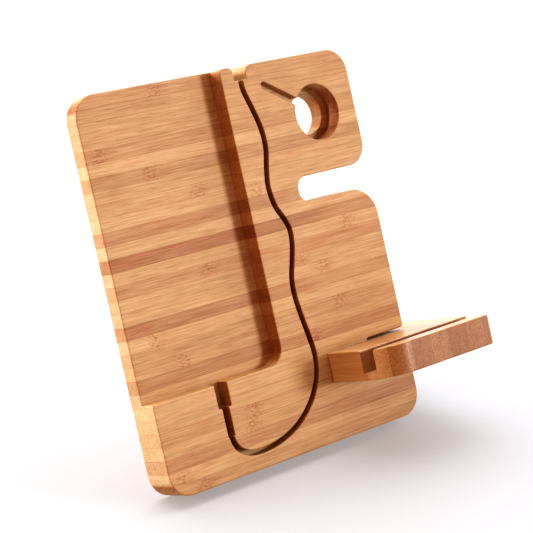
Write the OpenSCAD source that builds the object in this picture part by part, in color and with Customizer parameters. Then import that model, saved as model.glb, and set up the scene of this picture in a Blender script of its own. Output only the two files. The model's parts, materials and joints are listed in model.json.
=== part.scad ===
// Bamboo tablet stand with a phone shelf and a watch charger seat.
// Two boards, each glued up from upright bamboo strips, and joined by a cross-lap
// that slides apart. The panel leans back and the tray stands square to it.
// Board frame: x runs along the panel's width, z up the panel, and y back through
// its thickness, from its front face. stand() turns that frame onto the table.

/* [Panel] */
// Width of the panel
panel_w = 170; // [160:1:190]
// Height of the panel, along its slope
panel_h = 200; // [195:1:220]
// Thickness of the panel
panel_t = 18; // [16:0.5:22]
// Angle that the panel leans back from upright
lean = 19.4; // [15:0.1:25]
// Radius of the panel's four outer corners
corner_r = 12.6; // [6:0.2:16]

/* [Device recess] */
// Width of the recess that the device's back lies in, from the left edge
recess_w = 84.6; // [80:0.2:88]
// Height of the ledge that the device stands on
ledge_z = 48; // [46:0.5:52]
// Depth of the recess
recess_depth = 9; // [6:0.5:11]
// Radius of the corner between the ledge and the recess wall
recess_r = 9; // [3:0.5:12]

/* [Plug recess and cable groove] */
// Left side of the plug recess in the ledge
plug_x = 38.4; // [34:0.2:44]
// Width of the plug recess
plug_w = 7.8; // [7:0.1:9]
// Height of the plug recess, down from the ledge
plug_h = 12.4; // [10:0.1:14]
// Depth of the plug recess
plug_depth = 8; // [6:0.5:10]
// Width of the groove for the plug's strain relief
relief_w = 4.2; // [3.5:0.1:5]
// Length of the strain relief's groove, down from the plug recess
relief_h = 15; // [10:0.5:16]
// Width of the cable groove
groove_w = 3; // [2.5:0.1:4]
// Depth of the cable groove
groove_depth = 6.5; // [4:0.5:8]
// Left side of the cable notch in the top edge
notch_x = 93.2; // [92.5:0.1:95]
// Width of the cable notch
notch_w = 7.8; // [6:0.1:9]
// Depth of the cable notch, down from the top edge
notch_h = 7.4; // [7:0.1:9]
// Radius of the rib's two corners in the top edge, left of the notch
rib_r = 3; // [1:0.5:4]
// Radius of the corner in the top edge, right of the notch
right_of_notch_r = 5; // [1:0.5:7]

/* [Watch charger seat and strap slot] */
// Distance of the charger seat's centre from the left edge
seat_x = 143; // [140:0.5:145]
// Height of the charger seat's centre
seat_z = 169; // [165:0.5:172]
// Radius of the charger seat
seat_r = 14.7; // [14.2:0.1:15]
// Depth of the charger seat
seat_depth = 9.5; // [8:0.5:12]
// Radius of the hole behind the charger seat
push_r = 10.8; // [9:0.1:12]
// Width of the charger's lead channel
channel_w = 4; // [3:0.1:5]
// Depth of the charger's lead channel
channel_depth = 3.4; // [2.5:0.1:5]
// Distance of the lead channel's blind end from the left edge
channel_x = 111.4; // [108:0.2:114]
// Height of the lead channel's blind end
channel_z = 187.8; // [184:0.2:190]
// Left end of the strap slot
strap_x = 119.2; // [116:0.2:124]
// Lower edge of the strap slot
strap_z = 124.7; // [122:0.1:127]
// Height of the strap slot
strap_h = 13; // [11:0.5:14]
// Radius of the strap slot's inner corners
strap_r = 5.8; // [3:0.1:6]
// Radius of the outer corner above the strap slot
above_strap_r = 11.6; // [8:0.2:12]
// Radius of the outer corner below the strap slot
below_strap_r = 15.6; // [10:0.2:18]

/* [Tray] */
// Left end of the tray
tray_x = 113.4; // [110:0.2:118]
// Right end of the tray
tray_end = 192.4; // [185:0.2:200]
// Height of the tray's underside up the panel
tray_z = 29.7; // [26:0.1:31]
// Thickness of the tray
tray_t = 15.8; // [14:0.1:16.5]
// Reach of the tray in front of the panel
tray_reach = 43.6; // [40:0.2:50]
// Radius of the tray's front left corner
tray_left_r = 18; // [8:0.5:20]
// Radius of the tray's other three corners
tray_r = 4; // [2:0.5:8]
// Distance of the phone groove from the panel's face
slit_y = 25.5; // [22:0.1:28]
// Width of the phone groove
slit_w = 8; // [7:0.1:10]
// Depth of the phone groove
slit_depth = 11.8; // [8:0.1:12]

/* [Joint] */
// Distance of the end of the panel's notch from the left edge
lap_x = 143; // [140:0.5:146]
// Least gap between the tray's top and the top of the panel's notch
lap_gap = 1; // [0.8:0.1:2]
// Radius of the panel's corner above the notch
lap_r = 2; // [1:0.5:3]
// Clearance on each fitting face of the joint
lap_fit = 0.15; // [0.1:0.05:0.3]

/* [Bamboo strips] */
// Usual width of one bamboo strip
strip_w = 6.6; // [6.6:0.05:6.75]
// Narrowest neck that keeps a strip in one piece
neck_w = 0.5; // [0.3:0.1:1]

/* [Hidden] */
$fn = 64;
over = 1;
curve_steps = 5;

// The cable groove's route, from the top notch round to the strain relief
GROOVE = [
    [97, 193.5], [97.4, 187], [100.6, 177], [103.3, 166.5], [103.6, 156.5], [101.2, 146.5],
    [99.6, 137], [101, 127], [104.6, 120], [107.3, 113], [106.7, 105], [104, 96],
    [101.5, 88], [101, 79], [102.4, 68], [104.4, 57], [105.5, 47], [104.2, 38],
    [100.4, 30], [94, 22.3], [85, 15.6], [75, 11.4], [63, 9.2], [52.5, 9.8],
    [45.6, 13.2], [42.6, 18.5], [42.3, 24]
];

panel_strips = round(panel_h / strip_w);
panel_pitch = panel_h / panel_strips;
tray_w = tray_end - tray_x;
tray_strips = round(tray_w / strip_w);
tray_pitch = tray_w / tray_strips;

// The tray's lower back edge and the panel's lower back edge rest on the table
tray_back = panel_t + tray_z / tan(lean);
tray_depth = tray_reach + tray_back;

// The top of the panel's notch lies on the first glue line past the gap
lap_top = ceil((tray_z + tray_t + lap_gap) / panel_pitch) * panel_pitch;

// Centre of the whole stand's footprint, which is the origin
front_y = tray_z * sin(lean) - tray_reach * cos(lean);
back_y = (tray_z + tray_t) * sin(lean) + tray_back * cos(lean);
middle_x = tray_end / 2;
middle_y = (front_y + back_y) / 2;
lift = panel_t * sin(lean);

// Strips of the panel that the seat or the top notch cuts in two
function band(i) = [(i - 1) * panel_pitch, i * panel_pitch];
function by_seat(b) = b[0] > seat_z - push_r - neck_w && b[1] < seat_z + push_r + neck_w;
function by_notch(b) = b[0] > panel_h - notch_h;
function cut_at(b) = by_seat(b) ? seat_x : by_notch(b) ? notch_x + notch_w / 2 : 0;

function two_digits(i) = i < 10 ? str("0", i) : str(i);
function panel_name(i) = str("panel_strip_", two_digits(i));
function tray_name(i) = str("tray_strip_", two_digits(i));

// Each panel piece is [name, strip, from x, to x]
PANEL_PIECES = [
    for (i = [1:panel_strips])
        let (cut = cut_at(band(i)))
        each cut == 0 ? [[panel_name(i), i, 0, panel_w]] : [
            [str(panel_name(i), "_left"), i, 0, cut],
            [str(panel_name(i), "_right"), i, cut, panel_w]
        ]
];

// Each tray piece is [name, strip, from y, to y], and the lap cuts the strips left of its end
TRAY_PIECES = [
    for (i = [1:tray_strips])
        let (whole = tray_x + i * tray_pitch > lap_x)
        each whole ? [[tray_name(i), i, -tray_reach, tray_back]] : [
            [str(tray_name(i), "_front"), i, -tray_reach, panel_t / 2],
            [str(tray_name(i), "_back"), i, panel_t / 2, tray_back]
        ]
];

// A smooth curve through a list of points
function spline_point(a, b, c, d, t) =
    b + 0.5 * t * ((c - a) + t * ((2 * a - 5 * b + 4 * c - d) + t * (3 * (b - c) + d - a)));
function at(points, i) = points[max(0, min(len(points) - 1, i))];
function smooth(points) = [
    for (i = [0:len(points) - 2])
        for (k = [0:curve_steps - 1])
            spline_point(at(points, i - 1), points[i], points[i + 1], at(points, i + 2), k / curve_steps),
    points[len(points) - 1]
];
function side_step(points, i) =
    let (d = at(points, i + 1) - at(points, i - 1))
    [-d[1], d[0]] / norm(d);
function beside(points, distance) =
    [for (i = [0:len(points) - 1]) points[i] + distance * side_step(points, i)];
function reversed(points) = [for (i = [len(points) - 1:-1:0]) points[i]];
function ribbon(points, w) = concat(beside(points, w / 2), reversed(beside(points, -w / 2)));

// Stands the board frame on the table, with the origin under the middle of the stand
module stand() {
    translate([-middle_x, -middle_y, lift])
        rotate([-lean, 0, 0])
            children();
}

// A flat shape drawn on the panel's face, from depth a to depth b
module through(a, b) {
    translate([0, b, 0])
        rotate([90, 0, 0])
            linear_extrude(b - a)
                children();
}

// What rounds off a corner at the origin that points along +x +y
module corner_off(r) {
    difference() {
        translate([-r, -r])
            square(r + over);
        translate([-r, -r])
            circle(r);
    }
}

module corner_at(x, y, turn, r) {
    translate([x, y])
        rotate(turn)
            corner_off(r);
}

// A rectangle with both left corners rounded, as a tool that runs out to the right
module left_rounded(x, y, w, h, r) {
    translate([x + r, y])
        square([w - r, h]);
    translate([x, y + r])
        square([w, h - 2 * r]);
    for (c = [y + r, y + h - r])
        translate([x + r, c])
            circle(r);
}

module panel_outline() {
    difference() {
        square([panel_w, panel_h]);
        corner_at(panel_w, panel_h, 0, corner_r);
        corner_at(0, panel_h, 90, corner_r);
        corner_at(0, 0, 180, corner_r);
        corner_at(panel_w, 0, 270, corner_r);
        strap_slot();
        lap_notch();
        translate([notch_x, panel_h - notch_h])
            square([notch_w, notch_h + over]);
        corner_at(notch_x, panel_h, 0, rib_r);
        corner_at(notch_x + notch_w, panel_h, 90, right_of_notch_r);
    }
}

module strap_slot() {
    left_rounded(strap_x, strap_z, panel_w - strap_x + over, strap_h, strap_r);
    corner_at(panel_w, strap_z, 0, below_strap_r);
    corner_at(panel_w, strap_z + strap_h, 270, above_strap_r);
}

module lap_notch() {
    translate([lap_x, tray_z - lap_fit])
        square([panel_w - lap_x + over, lap_top - tray_z + lap_fit]);
    corner_at(panel_w, lap_top, 270, lap_r);
}

// The recess is open to the left and at the top
module recess_outline() {
    translate([-over, ledge_z + recess_r])
        square([recess_w + over, panel_h]);
    translate([-over, ledge_z])
        square([recess_w + over - recess_r, panel_h]);
    translate([recess_w - recess_r, ledge_z + recess_r])
        circle(recess_r);
    corner_at(recess_w, panel_h, 90, rib_r);
}

module lead_channel_outline() {
    run = [seat_x - channel_x, seat_z - channel_z];
    translate([channel_x, channel_z])
        rotate(atan2(run[1], run[0])) {
            circle(channel_w / 2);
            translate([0, -channel_w / 2])
                square([norm(run), channel_w]);
        }
}

module panel_board() {
    plug_low = ledge_z - plug_h;
    difference() {
        through(0, panel_t)
            panel_outline();
        through(-over, recess_depth)
            recess_outline();
        through(-over, plug_depth)
            translate([plug_x, plug_low])
                square([plug_w, plug_h + over]);
        through(-over, groove_depth)
            translate([plug_x + plug_w / 2 - relief_w / 2, plug_low - relief_h])
                square([relief_w, relief_h + over]);
        through(-over, groove_depth)
            polygon(ribbon(smooth(GROOVE), groove_w));
        through(-over, channel_depth)
            lead_channel_outline();
        through(-over, seat_depth)
            translate([seat_x, seat_z])
                circle(seat_r);
        through(-over, panel_t + over)
            translate([seat_x, seat_z])
                circle(push_r);
    }
}

module tray_outline() {
    difference() {
        translate([tray_x, -tray_reach])
            square([tray_w, tray_depth]);
        corner_at(tray_x, -tray_reach, 180, tray_left_r);
        corner_at(tray_end, -tray_reach, 270, tray_r);
        corner_at(tray_end, tray_back, 0, tray_r);
        corner_at(tray_x, tray_back, 90, tray_r);
        translate([tray_x - over, -lap_fit])
            square([lap_x + lap_fit - tray_x + over, panel_t + 2 * lap_fit]);
    }
}

module tray_board() {
    difference() {
        translate([0, 0, tray_z])
            linear_extrude(tray_t)
                tray_outline();
        translate([tray_x - over, -slit_y - slit_w, tray_z + tray_t - slit_depth])
            cube([tray_w + 2 * over, slit_w, slit_depth + over]);
    }
}

// One strip of the panel, from x = a to x = b
module panel_piece(i, a, b) {
    shade = ["burlywood", "tan", "peru"][i % 3];
    color(shade)
        stand()
            intersection() {
                panel_board();
                translate([a, -over, (i - 1) * panel_pitch])
                    cube([b - a, panel_t + 2 * over, panel_pitch]);
            }
}

// One strip of the tray, from y = a to y = b
module tray_piece(i, a, b) {
    shade = ["wheat", "burlywood"][i % 2];
    color(shade)
        stand()
            intersection() {
                tray_board();
                translate([tray_x + (i - 1) * tray_pitch, a, tray_z - over])
                    cube([tray_pitch, b - a, tray_t + 2 * over]);
            }
}

for (p = PANEL_PIECES)
    panel_piece(p[1], p[2], p[3]);
for (p = TRAY_PIECES)
    tray_piece(p[1], p[2], p[3]);
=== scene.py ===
"""Looks of the bamboo tablet stand: two glued boards, cut into the frame's strips, on a pale floor.

Sizes are in millimetres in the board frame, as in the CAD: x along the panel's width, y back through
its thickness from the front face, z up its slope. The charger seat's mount gives the way to the row frame.
"""

import json
import math

import bmesh
import bpy
from mathutils import Matrix, Vector


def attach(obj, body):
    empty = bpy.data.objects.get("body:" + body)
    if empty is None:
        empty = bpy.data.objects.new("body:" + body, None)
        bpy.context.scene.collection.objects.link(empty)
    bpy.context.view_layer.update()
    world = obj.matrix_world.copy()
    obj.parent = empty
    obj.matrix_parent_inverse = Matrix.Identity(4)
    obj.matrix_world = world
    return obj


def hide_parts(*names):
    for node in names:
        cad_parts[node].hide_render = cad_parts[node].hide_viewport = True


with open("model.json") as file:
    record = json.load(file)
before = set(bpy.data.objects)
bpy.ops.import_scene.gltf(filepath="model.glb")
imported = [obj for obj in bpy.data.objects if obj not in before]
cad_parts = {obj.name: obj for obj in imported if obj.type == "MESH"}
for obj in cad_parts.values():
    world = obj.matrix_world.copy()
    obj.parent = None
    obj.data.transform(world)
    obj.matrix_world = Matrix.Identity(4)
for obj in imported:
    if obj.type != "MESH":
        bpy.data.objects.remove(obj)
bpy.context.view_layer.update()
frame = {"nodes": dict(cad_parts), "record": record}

MM = 0.001

# ---------------------------------------------------------------- sizes, as in the CAD
PANEL_W, PANEL_H, PANEL_T = 170, 200, 18
CORNER_R = 12.6
RECESS_W, LEDGE_Z, RECESS_DEPTH, RECESS_R = 84.6, 48, 9, 9
PLUG_X, PLUG_W, PLUG_H, PLUG_DEPTH = 38.4, 7.8, 12.4, 8
RELIEF_W, RELIEF_H = 4.2, 15
GROOVE_W, GROOVE_DEPTH = 3, 6.5
NOTCH_X, NOTCH_W, NOTCH_H = 93.2, 7.8, 7.4
RIB_R, RIGHT_OF_NOTCH_R = 3, 5
SEAT_X, SEAT_Z, SEAT_R, SEAT_DEPTH, PUSH_R = 143, 169, 14.7, 9.5, 10.8
CHANNEL_X, CHANNEL_Z, CHANNEL_W, CHANNEL_DEPTH = 111.4, 187.8, 4, 3.4
STRAP_X, STRAP_Z, STRAP_H, STRAP_R = 119.2, 124.7, 13, 5.8
ABOVE_STRAP_R, BELOW_STRAP_R = 11.6, 15.6
TRAY_X, TRAY_END, TRAY_Z, TRAY_T, TRAY_REACH = 113.4, 192.4, 29.7, 15.8, 43.6
TRAY_LEFT_R, TRAY_R = 18, 4
SLIT_Y, SLIT_W, SLIT_DEPTH = 25.5, 8, 11.8
PANEL_STRIPS, TRAY_STRIPS = 30, 12
PANEL_PITCH, TRAY_PITCH = PANEL_H / PANEL_STRIPS, (TRAY_END - TRAY_X) / TRAY_STRIPS
LAP_X, LAP_R, LAP_FIT, LAP_GAP = 143, 2, 0.15, 1
LAP_TOP = math.ceil((TRAY_Z + TRAY_T + LAP_GAP) / PANEL_PITCH) * PANEL_PITCH
GROOVE = [
    (97, 193.5), (97.4, 187), (100.6, 177), (103.3, 166.5), (103.6, 156.5), (101.2, 146.5),
    (99.6, 137), (101, 127), (104.6, 120), (107.3, 113), (106.7, 105), (104, 96),
    (101.5, 88), (101, 79), (102.4, 68), (104.4, 57), (105.5, 47), (104.2, 38),
    (100.4, 30), (94, 22.3), (85, 15.6), (75, 11.4), (63, 9.2), (52.5, 9.8),
    (45.6, 13.2), (42.6, 18.5), (42.3, 24),
]

# ---------------------------------------------------------------- shapes that only the looks have
EASE = 0.7            # rounding of the sanded edges
GROOVE_EASE = 0.35    # rounding of the narrow grooves' edges
SLIT_EASE = 1.2       # rounding of the phone groove's edges
TINY_R = 0.9          # corners that the CAD leaves sharp
EASE_STEPS = 4
ARC_STEP = math.radians(5)
LEAST_ARC_STEPS = 2
CURVE_STEPS = 6
NOSE_STEPS = 18       # steps round the end of the lead channel
OVER = 3              # how far a cutting tool runs past what it cuts
STRIP_OVER = 1        # how far the block that cuts out a strip runs past the board
NEAR_END = 0.1        # a strip that comes this near to the board's end is its first or last one
LEAST_COSINE = 0.5    # keeps a point at a sharp turn of an outline from moving too far
WELD = 1e-7           # points this near to each other, in metres, are one point
SHARP_FROM = math.radians(35)

# ---------------------------------------------------------------- looks of the bamboo
# lightness of each strip, from the foot of the panel up and from the tray's left end, -1 dark to 1 pale
TONES = {
    "panel": [
        -0.2, 0.3, -0.4, 0.1, -0.1, 0.2, 0.4, 0.4, -0.5, 0.1, -0.1, 0.5, -0.6, 0.3, 0.2,
        -0.1, 0.4, -0.9, 0.5, -0.4, 0.6, 0.3, 0.2, -0.4, 0.6, -0.1, 0.1, 0.1, -0.1, -0.1,
    ],
    "tray": [1, 0.2, 0.3, -0.3, 0, 0.4, 0.3, -0.3, -0.2, 0.1, 0.4, 0.1],
}
# how far a strip turns to red, from 0 to 1
REDS = {
    "panel": {3: 0.4, 9: 0.5, 13: 0.6, 16: 0.3, 18: 1, 20: 0.3, 26: 0.2, 30: 0.1},
    "tray": {4: 0.6, 5: 0.5, 8: 0.5, 9: 0.4},
}
# the place along the grain, in the board frame, of a strip's knuckle
KNUCKLES = {
    "panel": {
        1: 20, 2: 8, 4: 57, 5: 59, 9: 108, 10: 30, 11: 130, 12: 17, 14: 125, 15: 109, 16: 58,
        17: 147, 21: 91, 22: 62, 24: 36, 26: 8, 30: 48,
    },
    "tray": {3: 60, 6: -8, 9: 75, 11: 30},
}
# the place along the grain past which a strip loses most of its own tone
FADES = {"panel": {13: 95, 18: 128, 20: 110}, "tray": {}}
FAR = 9999            # past the end of any strip
STRIP_SHIFT = 61.7    # how far apart in the grain pattern neighbouring strips are taken

# colours: a ramp from dark to pale wood, the tints that it is multiplied by, and a knuckle's pale dashes
BAMBOO_RAMP = [
    (0.1, (0.29, 0.144, 0.06)),
    (0.38, (0.42, 0.25, 0.12)),
    (0.6, (0.53, 0.352, 0.188)),
    (0.9, (0.66, 0.495, 0.31)),
]
RED_TINT = (0.92, 0.72, 0.68, 1)
LINE_TINT = (0.72, 0.60, 0.50, 1)
KNUCKLE_TINT = (0.66, 0.47, 0.39, 1)
END_TINT = (0.71, 0.575, 0.48, 1)
SIDE_HIGHLIGHT_TINT = (1.00, 1.17, 1.36, 1)    # painted highlight: end grain on the panel's left edge and in its cable notch, paled where light from behind on the left washes it out
PORE_TINT = (0.58, 0.44, 0.34, 1)
PALE_BAMBOO = (0.72, 0.46, 0.23, 1)

# patterns: feature sizes along the grain, across the strips and through the board, and levels of detail
WAVERS = ((5, 3, 3), 1)
STREAKS = ((60, 1.9, 1.9), 2)
FIBRES = ((20, 0.6, 0.6), 3)
LINES = ((11, 0.55, 0.55), 2)
PATCHES = ((28, 9, 9), 2)
DASHES = ((1.9, 0.75, 0.75), 3)
BUNDLES = (20 / 3, 0.8, 0.8)         # sizes only, of the dots in end grain

# bands: the values where a band starts and ends, and what it gives there if not 0 and 1
FADE_BAND = (-12, 25, 1, 0.3)        # mm past a strip's fade place
LINE_BAND = (0.56, 0.70)
OWN_RED_BAND = (0.3, 0.65, 0.3, 0.9)
PATCH_RED_BAND = (0.52, 0.75, 0, 0.5)
GLUE_BAND = (0.05, 0.25, 0.5, 0)     # mm from a glue line
DARK_DASH_BAND = (0.44, 0.68, 0, 0.75)
PALE_DASH_BAND = (0.46, 0.34, 0, 0.25)
END_BAND = (0.45, 0.85)              # cosine between a face's normal and the grain
PORE_BAND = (0.38, 0.14)
OUTER_HIGHLIGHT_BAND = (1.5, 0.5)              # mm along the grain, from the inner ends to the outer one, whose end grain gets the panel's painted highlight
NOTCH_HIGHLIGHT_UP_BAND = (192, 192.8)         # mm up the panel, at the foot of the cable notch, where the painted highlight on its wall starts
NOTCH_HIGHLIGHT_ALONG_BAND = (88, 89)          # mm along the panel, just left of the cable notch, where that painted highlight starts
SHEEN_BAND = (0.3, 0.7)

MIDDLE = 0.5                         # the middle of a noise and of the ramp
TONE_SHARE, STREAK_SHARE, FIBRE_SHARE, PATCH_SHARE = 0.19, 0.35, 0.54, 0.25
LINE_SHARE = 0.5
KNUCKLE_REACH = 5.2                  # half the length of a knuckle
KNUCKLE_RED = 0.35
WAVER_REACH, KNUCKLE_WAVER = 0.25, 0.9    # mm that fibres sway, and mm more at a knuckle
DASH_DEPTH, PORE_DEPTH = -0.2, -0.8  # share of the bump, against the fibres' 1
BUMP_STRENGTH, BUMP_HEIGHT = 0.35, 0.1 * MM
NOISE_ROUGHNESS = 0.55
SHEEN_SPREAD = 0.04                  # how far the fibres change the roughness either way
END_ROUGHNESS = 0.14                 # how much rougher end grain is
COAT_ROUGHNESS = 0.2
PANEL_FINISH = (0.45, 0.3, 0)        # roughness, specular level and coat
TRAY_FINISH = (0.32, 0.4, 0.24)
# how strong the pores stay on the outer end; the panel's are faded, as part of its painted highlight
PANEL_OUTER_PORES, TRAY_OUTER_PORES = 0.15, 1

seat = next(m for m in frame["record"]["mounts"] if m["name"] == "charger_seat")
LEAN = math.atan2(seat["axis"][2], -seat["axis"][1])
TURN = Matrix.Rotation(-LEAN, 4, "X")
SEAT_MIDDLE = Vector((SEAT_X, SEAT_DEPTH / 2, SEAT_Z))
STAND = Matrix.Translation(Vector(seat["pos_m"]) - TURN @ SEAT_MIDDLE * MM) @ TURN @ Matrix.Scale(MM, 4)
TO_BOARD = STAND.inverted()


# ---------------------------------------------------------------- outlines
def rounded(corners):
    """A closed outline from (x, y, radius) corners, with an arc at each."""
    points = []
    for i, (x, y, r) in enumerate(corners):
        here = Vector((x, y))
        before = Vector(corners[i - 1][:2]) - here
        after = Vector(corners[(i + 1) % len(corners)][:2]) - here
        a, b = before.normalized(), after.normalized()
        half = a.angle(b) / 2
        reach = r / math.tan(half)
        centre = here + (a + b).normalized() * (r / math.sin(half))
        start, end = here + a * reach - centre, here + b * reach - centre
        sweep = start.angle_signed(end)
        steps = max(LEAST_ARC_STEPS, math.ceil(abs(sweep) / ARC_STEP))
        for k in range(steps + 1):
            turn = -sweep * k / steps
            c, s = math.cos(turn), math.sin(turn)
            points.append(centre + Vector((c * start.x - s * start.y, s * start.x + c * start.y)))
    return points


def rectangle(x, y, width, height):
    """A rectangle from its lower left corner, with barely rounded corners."""
    right, top = x + width, y + height
    return rounded([(x, y, TINY_R), (right, y, TINY_R), (right, top, TINY_R), (x, top, TINY_R)])


def circle(x, y, r):
    steps = math.ceil(math.tau / ARC_STEP)
    turns = [math.tau * k / steps for k in range(steps)]
    return [Vector((x + r * math.cos(t), y + r * math.sin(t))) for t in turns]


def smooth(points):
    """The CAD's smooth curve through the points."""
    last = len(points) - 1
    p = [Vector(q) for q in points]
    curve = []
    for i in range(last):
        a, b, c, d = p[max(i - 1, 0)], p[i], p[i + 1], p[min(i + 2, last)]
        for k in range(CURVE_STEPS):
            t = k / CURVE_STEPS
            pull = (c - a) + t * ((2 * a - 5 * b + 4 * c - d) + t * (3 * (b - c) + d - a))
            curve.append(b + 0.5 * t * pull)
    return curve + [p[last]]


def ribbon(points, width):
    """The outline of a band of that width along the points."""
    sides = []
    last = len(points) - 1
    for i, q in enumerate(points):
        along = (points[min(i + 1, last)] - points[max(i - 1, 0)]).normalized()
        sides.append(Vector((-along.y, along.x)) * width / 2)
    left = [q + s for q, s in zip(points, sides)]
    right = [q - s for q, s in zip(points, sides)]
    return left + right[::-1]


def anticlockwise(points):
    area = sum(a.cross(b) for a, b in zip(points, points[1:] + points[:1]))
    return points if area > 0 else points[::-1]


def inset(points, distance):
    """An anticlockwise outline moved in by a distance, or out by a negative one."""
    moved = []
    for i, q in enumerate(points):
        a = (q - points[i - 1]).normalized()
        b = (points[(i + 1) % len(points)] - q).normalized()
        na, nb = Vector((-a.y, a.x)), Vector((-b.y, b.x))
        mid = (na + nb).normalized()
        moved.append(q + mid * distance / max(mid.dot(na), LEAST_COSINE))
    return moved


# ---------------------------------------------------------------- solids
def ease_in(depth, size=EASE):
    """Rings of a rounded rim that starts at a depth: (depth, inset)."""
    turns = [math.radians(90) * k / EASE_STEPS for k in range(EASE_STEPS + 1)]
    return [(depth + size * (1 - math.cos(t)), size * (1 - math.sin(t))) for t in turns]


def ease_out(depth, size=EASE):
    """Rings of a rounded rim that ends at a depth."""
    return [(2 * depth - d, i) for d, i in reversed(ease_in(depth, size))]


def flare_in(depth, size=EASE):
    """Rings of a tool that leaves a rounded rim where it enters the wood at a depth."""
    return [(depth - OVER, -size)] + [(d, -i) for d, i in ease_in(depth, size)]


def flare_out(depth, size=EASE):
    """Rings of a tool that leaves a rounded rim where it comes out of the wood."""
    return [(d, -i) for d, i in ease_out(depth, size)] + [(depth + OVER, -size)]


def loft(name, outline, rings, place):
    """A closed solid through copies of an outline; place turns (x, y, depth) into the board frame."""
    outline = anticlockwise(outline)
    mesh = bmesh.new()
    loops = []
    for depth, distance in rings:
        loops.append([mesh.verts.new(place(q.x, q.y, depth)) for q in inset(outline, distance)])
    count = len(outline)
    for low, high in zip(loops, loops[1:]):
        for i in range(count):
            j = (i + 1) % count
            mesh.faces.new((low[i], low[j], high[j], high[i]))
    mesh.faces.new(loops[0][::-1])
    mesh.faces.new(loops[-1])
    bmesh.ops.recalc_face_normals(mesh, faces=mesh.faces)
    return as_object(name, mesh)


def as_object(name, mesh):
    data = bpy.data.meshes.new(name)
    mesh.to_mesh(data)
    mesh.free()
    made = bpy.data.objects.new(name, data)
    bpy.context.scene.collection.objects.link(made)
    return made


def into_panel(x, y, depth):
    return (x, depth, y)


def into_tray(x, y, height):
    return (x, y, height)


def along_x(y, z, x):
    return (x, y, z)


def combine(body, tools, operation):
    """Applies one boolean of each tool to the body, and removes the tools."""
    for tool in tools:
        step = body.modifiers.new(tool.name, "BOOLEAN")
        step.operation = operation
        step.solver = "MANIFOLD"
        step.object = tool
    apply_modifiers(body)
    for tool in tools:
        bpy.data.meshes.remove(tool.data)
    return body


def apply_modifiers(made):
    bpy.context.view_layer.update()
    shape = bpy.data.meshes.new_from_object(made.evaluated_get(bpy.context.evaluated_depsgraph_get()))
    old = made.data
    made.modifiers.clear()
    made.data = shape
    bpy.data.meshes.remove(old)


def panel_corners(raised):
    """The panel's outline, without the recess's area if raised."""
    corners = [
        (0, 0, CORNER_R),
        (PANEL_W, 0, CORNER_R),
        (PANEL_W, TRAY_Z - LAP_FIT, TINY_R),
        (LAP_X, TRAY_Z - LAP_FIT, TINY_R),
        (LAP_X, LAP_TOP, TINY_R),
        (PANEL_W, LAP_TOP, LAP_R),
        (PANEL_W, STRAP_Z, BELOW_STRAP_R),
        (STRAP_X, STRAP_Z, STRAP_R),
        (STRAP_X, STRAP_Z + STRAP_H, STRAP_R),
        (PANEL_W, STRAP_Z + STRAP_H, ABOVE_STRAP_R),
        (PANEL_W, PANEL_H, CORNER_R),
        (NOTCH_X + NOTCH_W, PANEL_H, RIGHT_OF_NOTCH_R),
        (NOTCH_X + NOTCH_W, PANEL_H - NOTCH_H, TINY_R),
        (NOTCH_X, PANEL_H - NOTCH_H, TINY_R),
        (NOTCH_X, PANEL_H, RIB_R),
    ]
    if raised:
        return corners + [(RECESS_W, PANEL_H, RIB_R), (RECESS_W, LEDGE_Z, RECESS_R), (0, LEDGE_Z, TINY_R)]
    return corners + [(0, PANEL_H, CORNER_R)]


def lead_channel():
    """The outline of the channel from its rounded outer end to the middle of the charger seat."""
    start, end = Vector((CHANNEL_X, CHANNEL_Z)), Vector((SEAT_X, SEAT_Z))
    run = end - start
    side = Vector((-run.y, run.x)).normalized() * CHANNEL_W / 2
    first = math.atan2(side.y, side.x)
    turns = [first + math.pi * k / NOSE_STEPS for k in range(NOSE_STEPS + 1)]
    nose = [start + Vector((math.cos(t), math.sin(t))) * CHANNEL_W / 2 for t in turns]
    return nose + [end - side, end + side]


def make_panel():
    back = ease_out(PANEL_T)
    body = loft("panel_back", rounded(panel_corners(False)), ease_in(RECESS_DEPTH) + back, into_panel)
    front = loft("panel_front", rounded(panel_corners(True)), ease_in(0) + back, into_panel)
    combine(body, [front], "UNION")
    plug_low = LEDGE_Z - PLUG_H
    relief_x = PLUG_X + (PLUG_W - RELIEF_W) / 2
    plug = rectangle(PLUG_X, plug_low, PLUG_W, PLUG_H + OVER)
    relief = rectangle(relief_x, plug_low - RELIEF_H, RELIEF_W, RELIEF_H + OVER)
    tools = [
        loft("plug", plug, flare_in(0) + [(PLUG_DEPTH, 0)], into_panel),
        loft("relief", relief, flare_in(0, GROOVE_EASE) + [(GROOVE_DEPTH, 0)], into_panel),
        loft("groove", ribbon(smooth(GROOVE), GROOVE_W), flare_in(0, GROOVE_EASE) + [(GROOVE_DEPTH, 0)],
             into_panel),
        loft("channel", lead_channel(), flare_in(0, GROOVE_EASE) + [(CHANNEL_DEPTH, 0)], into_panel),
        loft("seat", circle(SEAT_X, SEAT_Z, SEAT_R), flare_in(0) + [(SEAT_DEPTH, 0)], into_panel),
        loft("push", circle(SEAT_X, SEAT_Z, PUSH_R), flare_in(SEAT_DEPTH, GROOVE_EASE) + flare_out(PANEL_T),
             into_panel),
    ]
    return combine(body, tools, "DIFFERENCE")


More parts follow.
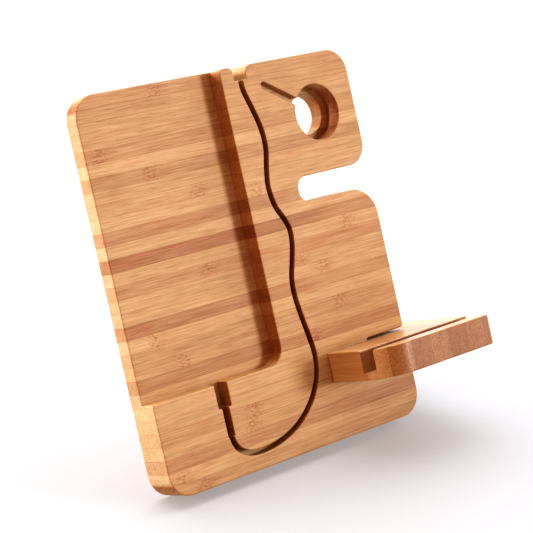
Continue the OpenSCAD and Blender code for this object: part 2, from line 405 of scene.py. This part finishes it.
def make_tray():
    tray_back = PANEL_T + TRAY_Z / math.tan(LEAN)
    corners = [
        (TRAY_X, -TRAY_REACH, TRAY_LEFT_R), (TRAY_END, -TRAY_REACH, TRAY_R),
        (TRAY_END, tray_back, TRAY_R), (TRAY_X, tray_back, TRAY_R),
        (TRAY_X, PANEL_T + LAP_FIT, TINY_R), (LAP_X + LAP_FIT, PANEL_T + LAP_FIT, TINY_R),
        (LAP_X + LAP_FIT, -LAP_FIT, TINY_R), (TRAY_X, -LAP_FIT, TINY_R),
    ]
    top = TRAY_Z + TRAY_T
    body = loft("tray", rounded(corners), ease_in(TRAY_Z) + ease_out(top), into_tray)
    slit = [Vector((-SLIT_Y, top - SLIT_DEPTH))]
    slit += [Vector((-SLIT_Y - i, d)) for d, i in flare_out(top, SLIT_EASE)]
    slit += [Vector((-SLIT_Y - SLIT_W + i, d)) for d, i in reversed(flare_out(top, SLIT_EASE))]
    slit += [Vector((-SLIT_Y - SLIT_W, top - SLIT_DEPTH))]
    tool = loft("slit", slit, [(TRAY_X - OVER, 0), (TRAY_END + OVER, 0)], along_x)
    return combine(body, [tool], "DIFFERENCE")


def board_box(low, high):
    """A plain block in the board frame, to cut a strip out of a board."""
    xs, ys = (low[0], high[0], high[0], low[0]), (low[1], low[1], high[1], high[1])
    outline = [Vector(corner) for corner in zip(xs, ys)]
    return loft("block", outline, [(low[2], 0), (high[2], 0)], into_tray)


def strip_number(node):
    return int(node.split("_")[2])


def strip_span(node):
    """Lowest and highest corner of a frame node in the board frame."""
    points = [TO_BOARD @ v.co for v in frame["nodes"][node].data.vertices]
    low = [min(p[k] for p in points) for k in range(3)]
    high = [max(p[k] for p in points) for k in range(3)]
    return low, high


def cut_strips(board, body, pitch_axis, board_span, material):
    """Cuts a board into the frame's strips, on their glue lines. They follow each other along pitch_axis."""
    for node in frame["record"]["behaviour"]["bodies"][body]:
        low, high = strip_span(node)
        for k in range(3):
            if k != pitch_axis or abs(low[k] - board_span[0]) < NEAR_END:
                low[k] -= STRIP_OVER
            if k != pitch_axis or abs(high[k] - board_span[1]) < NEAR_END:
                high[k] += STRIP_OVER
        piece = board.copy()
        piece.data = board.data.copy()
        piece.name = node + "_wood"
        bpy.context.scene.collection.objects.link(piece)
        combine(piece, [board_box(low, high)], "INTERSECT")
        piece.data.transform(STAND)
        finish_piece(piece, material)
        number = strip_number(node)
        piece["tone"] = float(TONES[body][number - 1])
        piece["red"] = float(REDS[body].get(number, 0))
        piece["knuckle"] = float(KNUCKLES[body].get(number, FAR))
        piece["fade"] = float(FADES[body].get(number, FAR))
        piece["shift"] = float(STRIP_SHIFT * number)
        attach(piece, body)
        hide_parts(node)
    bpy.data.meshes.remove(board.data)


def finish_piece(piece, material):
    """Smooth rounded edges beside flat faces, and the material."""
    data = piece.data
    data.materials.clear()
    data.materials.append(material)
    mesh = bmesh.new()
    mesh.from_mesh(data)
    bmesh.ops.remove_doubles(mesh, verts=mesh.verts, dist=WELD)
    bmesh.ops.dissolve_degenerate(mesh, edges=mesh.edges, dist=WELD)
    for face in mesh.faces:
        face.smooth = True
    for edge in mesh.edges:
        if len(edge.link_faces) == 2:
            edge.smooth = edge.calc_face_angle() < SHARP_FROM
    mesh.to_mesh(data)
    mesh.free()
    even = piece.modifiers.new("even", "WEIGHTED_NORMAL")
    even.mode = "FACE_AREA"
    even.keep_sharp = True
    apply_modifiers(piece)


# ---------------------------------------------------------------- materials
class Nodes:
    """Adds shader nodes to a tree. An input is a number, a colour, a vector or another node's output."""

    def __init__(self, tree):
        self.tree = tree

    def feed(self, socket, value):
        if isinstance(value, bpy.types.NodeSocket):
            self.tree.links.new(value, socket)
        elif value is not None:
            socket.default_value = value

    def add(self, kind, inputs, **settings):
        made = self.tree.nodes.new("ShaderNode" + kind)
        for key, value in settings.items():
            setattr(made, key, value)
        for key, value in inputs.items():
            self.feed(made.inputs[key], value)
        return made

    def math(self, operation, a, b=None, c=None):
        return self.add("Math", {0: a, 1: b, 2: c}, operation=operation).outputs[0]

    def vector(self, x, y, z):
        return self.add("CombineXYZ", {0: x, 1: y, 2: z}).outputs[0]

    def mix(self, share, a, b, blend="MIX"):
        made = self.add("Mix", {0: share, 6: a, 7: b}, data_type="RGBA", blend_type=blend)
        return made.outputs[2]

    def tint(self, share, colour, tint):
        """Multiplies a colour by a share of a tint."""
        return self.mix(share, colour, tint, "MULTIPLY")

    def band(self, value, low, high, to_low=0, to_high=1):
        """Goes smoothly from to_low to to_high as the value goes from low to high."""
        inputs = {0: value, 1: low, 2: high, 3: to_low, 4: to_high}
        return self.add("MapRange", inputs, interpolation_type="SMOOTHSTEP").outputs[0]

    def scaled(self, place, sizes):
        """A place in which one unit is as long as these sizes in millimetres."""
        inputs = {0: place, 1: [1 / size for size in sizes]}
        return self.add("VectorMath", inputs, operation="MULTIPLY").outputs[0]

    def noise(self, place, pattern):
        """Noise of about zero to one. A pattern gives the sizes of its features and its levels of detail."""
        sizes, detail = pattern
        inputs = {"Vector": self.scaled(place, sizes), "Scale": 1, "Detail": detail}
        inputs["Roughness"] = NOISE_ROUGHNESS
        return self.add("TexNoise", inputs).outputs[0]

    def swayed(self, value, noise, share):
        """A value, moved by a share of how far a noise is from its middle."""
        return self.math("MULTIPLY_ADD", self.math("SUBTRACT", noise, MIDDLE), share, value)

    def own(self, name):
        """A number that each piece carries."""
        return self.add("Attribute", {}, attribute_type="OBJECT", attribute_name=name).outputs["Fac"]

    def ramp(self, value, stops):
        made = self.add("ValToRGB", {0: value})
        elements = made.color_ramp.elements
        while len(elements) < len(stops):
            elements.new(1)
        for element, (position, colour) in zip(elements, stops):
            element.position = position
            element.color = (*colour, 1)
        return made.outputs[0]


def new_material(name):
    """A material, the maker of its nodes and the inputs of its shader."""
    material = bpy.data.materials.new(name)
    material.use_nodes = True
    tree = material.node_tree
    return material, Nodes(tree), tree.nodes["Principled BSDF"].inputs


def board_place(make, coordinates, order):
    """Where a point lies in its board: along the grain, across the strips and through the board."""
    move, turn, size = TO_BOARD.decompose()
    inputs = {0: coordinates.outputs["Object"], 1: move, 2: turn.to_euler(), 3: size}
    board = make.add("SeparateXYZ", {0: make.add("Mapping", inputs).outputs[0]})
    return [board.outputs[axis] for axis in order]


def knuckle_nearness(make, along):
    """One at a strip's knuckle, where the culm had a joint, and zero away from it."""
    away = make.math("DIVIDE", make.math("SUBTRACT", along, make.own("knuckle")), KNUCKLE_REACH)
    return make.math("POWER", math.e, make.math("MULTIPLY", make.math("MULTIPLY", away, away), -1))


def grain_places(make, along, across, through, near):
    """The plain place in a strip's pattern, and the place that its wavering fibres follow."""
    shift = make.own("shift")
    shifted = make.math("ADD", along, shift)
    place = make.vector(shifted, across, make.math("ADD", through, shift))
    waver = make.math("SUBTRACT", make.noise(place, WAVERS), MIDDLE)
    reach = make.math("MULTIPLY_ADD", near, KNUCKLE_WAVER, WAVER_REACH)
    bent = make.math("ADD", make.math("MULTIPLY_ADD", waver, reach, across), shift)
    return place, make.vector(shifted, bent, through)


def strip_colour(make, along, near, place, fibres_at, fibres):
    """The colour of a strip's long faces, without its knuckle's dashes."""
    patches = make.noise(place, PATCHES)
    kept = make.band(make.math("SUBTRACT", along, make.own("fade")), *FADE_BAND)
    own_tone = make.math("MULTIPLY", make.own("tone"), kept)
    lightness = make.math("MULTIPLY_ADD", own_tone, TONE_SHARE, MIDDLE)
    lightness = make.swayed(lightness, make.noise(fibres_at, STREAKS), STREAK_SHARE)
    lightness = make.swayed(lightness, fibres, FIBRE_SHARE)
    lightness = make.swayed(lightness, patches, PATCH_SHARE)
    colour = make.ramp(lightness, BAMBOO_RAMP)

    own_red = make.math("MULTIPLY", make.own("red"), kept)
    redness = make.math("MULTIPLY", own_red, make.band(patches, *OWN_RED_BAND))
    redness = make.math("ADD", redness, make.band(patches, *PATCH_RED_BAND))
    redness = make.math("MULTIPLY_ADD", near, KNUCKLE_RED, redness)
    colour = make.tint(make.math("MINIMUM", redness, 1), colour, RED_TINT)
    lines = make.band(make.noise(fibres_at, LINES), *LINE_BAND)
    return make.tint(make.math("MULTIPLY", lines, LINE_SHARE), colour, LINE_TINT)


def end_grain(make, along, across, place, outer_pores):
    """How far a point is on an outer end or in the cable notch, where the panel's end grain gets a painted
    highlight, and how far it is in a pore.
    """
    notch_highlight = make.math("MULTIPLY", make.band(across, *NOTCH_HIGHLIGHT_UP_BAND), make.band(along, *NOTCH_HIGHLIGHT_ALONG_BAND))
    outer_highlight = make.math("MAXIMUM", make.band(along, *OUTER_HIGHLIGHT_BAND), notch_highlight)
    cells = make.scaled(place, BUNDLES)
    bundles = make.add("TexVoronoi", {"Vector": cells, "Scale": 1}).outputs["Distance"]
    pores = make.math("MULTIPLY", make.band(bundles, *PORE_BAND), make.band(outer_highlight, 0, 1, 1, outer_pores))
    return outer_highlight, pores


def bamboo(name, order, grain, start, pitch, finish, outer_end_and_highlight_tint, outer_pores):
    """Glued bamboo. order names the board's axes along the grain, across the strips and through the board.

    grain is the direction of the fibres in the row frame. Faces square to it show end grain.
    The first strip starts at start, and the next ones follow at the pitch.
    The last two arguments are the end grain's tint and the strength of its pores on the outer end; the
    panel's tint there is a painted highlight, which also covers its cable notch.
    """
    roughness, specular, coat = finish
    material, make, shader = new_material(name)
    coordinates = make.add("TexCoord", {})
    along, across, through = board_place(make, coordinates, order)
    near = knuckle_nearness(make, along)
    place, fibres_at = grain_places(make, along, across, through, near)
    fibres = make.noise(fibres_at, FIBRES)

    colour = strip_colour(make, along, near, place, fibres_at, fibres)
    from_glue = make.math("PINGPONG", make.math("SUBTRACT", across, start), pitch / 2)
    colour = make.tint(make.band(from_glue, *GLUE_BAND), colour, LINE_TINT)
    dashes = make.noise(place, DASHES)
    dark = make.math("MULTIPLY", near, make.band(dashes, *DARK_DASH_BAND))
    pale = make.math("MULTIPLY", near, make.band(dashes, *PALE_DASH_BAND))
    colour = make.tint(dark, colour, KNUCKLE_TINT)
    colour = make.mix(pale, colour, PALE_BAMBOO)

    facing = make.add("VectorMath", {0: coordinates.outputs["Normal"], 1: grain}, operation="DOT_PRODUCT")
    end = make.band(make.math("ABSOLUTE", facing.outputs["Value"]), *END_BAND)
    outer_highlight, pores = end_grain(make, along, across, place, outer_pores)
    end_pores = make.math("MULTIPLY", end, pores)
    # end grain tint, with a paler painted highlight on the panel's outer end and in its cable notch
    colour = make.tint(end, colour, make.mix(outer_highlight, END_TINT, outer_end_and_highlight_tint))
    colour = make.tint(end_pores, colour, PORE_TINT)

    height = make.math("MULTIPLY_ADD", dark, DASH_DEPTH, fibres)
    height = make.math("MULTIPLY_ADD", end_pores, PORE_DEPTH, height)
    bump = make.add("Bump", {"Strength": BUMP_STRENGTH, "Distance": BUMP_HEIGHT, "Height": height})
    sheen = make.band(fibres, *SHEEN_BAND, roughness + SHEEN_SPREAD, roughness - SHEEN_SPREAD)
    make.feed(shader["Base Color"], colour)
    make.feed(shader["Roughness"], make.math("MULTIPLY_ADD", end, END_ROUGHNESS, sheen))
    make.feed(shader["Normal"], bump.outputs[0])
    shader["Specular IOR Level"].default_value = specular
    shader["Coat Weight"].default_value = coat
    shader["Coat Roughness"].default_value = COAT_ROUGHNESS
    return material


# ---------------------------------------------------------------- stage, lights and camera
# places and reaches are in metres, angles in degrees
STUDIO_BACK = (0.6, 0.75, 0.3)       # the way to the bright side of the studio
STUDIO_BAND = (-0.2, 0.8)            # cosine to that way, where the dim side ends and the bright one starts
STUDIO_DIM = (0.15, 0.075, 0.03, 1)
STUDIO_BRIGHT = (1.5, 1.5, 1.5, 1)
FLOOR_REACH = 3
FLOOR_WHITE = (0.32, 0.32, 0.322, 1)
# painted shadow: a grey, faintly lilac floor round a point right of the stand
FLOOR_PAINTED_SHADE = (0.268, 0.276, 0.305, 1)
FLOOR_ROUGHNESS = 0.9
FLOOR_GLOW = 0.22                    # keeps the floor as white as a lit paper backdrop
PAINTED_SHADE_MIDDLE = (0.3, 0.1, 0)
PAINTED_SHADE_BAND = (0.25, 0.8)              # from the painted shadow's middle to where the floor is white
WHITE = (1, 1, 1)
WARM = (1, 0.42, 0.13)
# name, the way from the stand to the light, width, strength and colour
SUNS = [
    ("key", (0.56, -0.78, 0.28), 16, 1.1, WHITE),
    ("back", (-0.6, 0.5, 0.62), 60, 0.3, WHITE),
    ("side", (-0.83, 0.55, 0.08), 20, 2.1, WHITE),
    ("top", (0.1, 0.3, 0.95), 60, 1.1, WHITE),
    ("fill", (-0.9, -0.35, 0.3), 60, 0.85, WARM),
]
CAMERA_TARGET = (-0.0136, -0.0128, 0.1004)
CAMERA_AZIMUTH, CAMERA_ELEVATION = -41.1, 18.75
CAMERA_DISTANCE = 0.9005
CAMERA_LENS = 120.7                  # millimetres
CAMERA_NEAR = 0.01


def make_floor():
    mesh = bmesh.new()
    bmesh.ops.create_grid(mesh, x_segments=1, y_segments=1, size=FLOOR_REACH)
    floor = as_object("floor", mesh)
    material, make, shader = new_material("floor_paper")
    place = make.add("TexCoord", {}).outputs["Object"]
    # painted shadow: the floor greys toward a point right of the stand and is white further off
    away = make.add("VectorMath", {0: place, 1: PAINTED_SHADE_MIDDLE}, operation="DISTANCE").outputs["Value"]
    make.feed(shader["Base Color"], make.mix(make.band(away, *PAINTED_SHADE_BAND), FLOOR_PAINTED_SHADE, FLOOR_WHITE))
    shader["Roughness"].default_value = FLOOR_ROUGHNESS
    shader["Emission Color"].default_value = (*WHITE, 1)
    shader["Emission Strength"].default_value = FLOOR_GLOW
    floor.data.materials.append(material)


def make_sun(name, toward, width, strength, colour):
    """A light from far off, softer the wider it is."""
    light = bpy.data.lights.new(name, "SUN")
    light.energy = strength
    light.angle = math.radians(width)
    light.color = colour
    made = bpy.data.objects.new(name, light)
    made.rotation_euler = Vector(toward).to_track_quat("Z", "Y").to_euler()
    bpy.context.scene.collection.objects.link(made)


def make_camera():
    azimuth, elevation = math.radians(CAMERA_AZIMUTH), math.radians(CAMERA_ELEVATION)
    level = math.cos(elevation)
    away = Vector((math.sin(azimuth) * level, -math.cos(azimuth) * level, math.sin(elevation)))
    data = bpy.data.cameras.new("camera")
    data.lens = CAMERA_LENS
    data.clip_start = CAMERA_NEAR
    camera = bpy.data.objects.new("camera", data)
    camera.location = Vector(CAMERA_TARGET) + away * CAMERA_DISTANCE
    camera.rotation_euler = (-away).to_track_quat("-Z", "Y").to_euler()
    bpy.context.scene.collection.objects.link(camera)
    bpy.context.scene.camera = camera


def make_world():
    """A studio that is bright behind the stand, and dim and warm in front of it."""
    world = bpy.data.worlds.new("studio")
    bpy.context.scene.world = world
    world.use_nodes = True
    make = Nodes(world.node_tree)
    way = make.add("TexCoord", {}).outputs["Generated"]
    inputs = {0: way, 1: Vector(STUDIO_BACK).normalized()}
    facing = make.add("VectorMath", inputs, operation="DOT_PRODUCT").outputs["Value"]
    shade = make.mix(make.band(facing, *STUDIO_BAND), STUDIO_DIM, STUDIO_BRIGHT)
    make.feed(world.node_tree.nodes["Background"].inputs["Color"], shade)


make_camera()
make_world()
make_floor()
for settings in SUNS:
    make_sun(*settings)
bpy.context.scene.view_settings.view_transform = "Standard"
bpy.context.scene.view_settings.look = "Very High Contrast"

ACROSS_TRAY, UP_PANEL = 0, 2         # the board axes along which strip follows strip
# the panel's outer end grain and cable notch get a painted highlight
panel_wood = bamboo(
    "panel_bamboo", order="XZY", grain=(1, 0, 0), start=0, pitch=PANEL_PITCH, finish=PANEL_FINISH,
    outer_end_and_highlight_tint=SIDE_HIGHLIGHT_TINT, outer_pores=PANEL_OUTER_PORES)
tray_wood = bamboo(
    "tray_bamboo", order="YXZ", grain=(0, math.cos(LEAN), -math.sin(LEAN)), start=TRAY_X, pitch=TRAY_PITCH,
    finish=TRAY_FINISH, outer_end_and_highlight_tint=END_TINT, outer_pores=TRAY_OUTER_PORES)
cut_strips(make_panel(), "panel", UP_PANEL, (0, PANEL_H), panel_wood)
cut_strips(make_tray(), "tray", ACROSS_TRAY, (TRAY_X, TRAY_END), tray_wood)
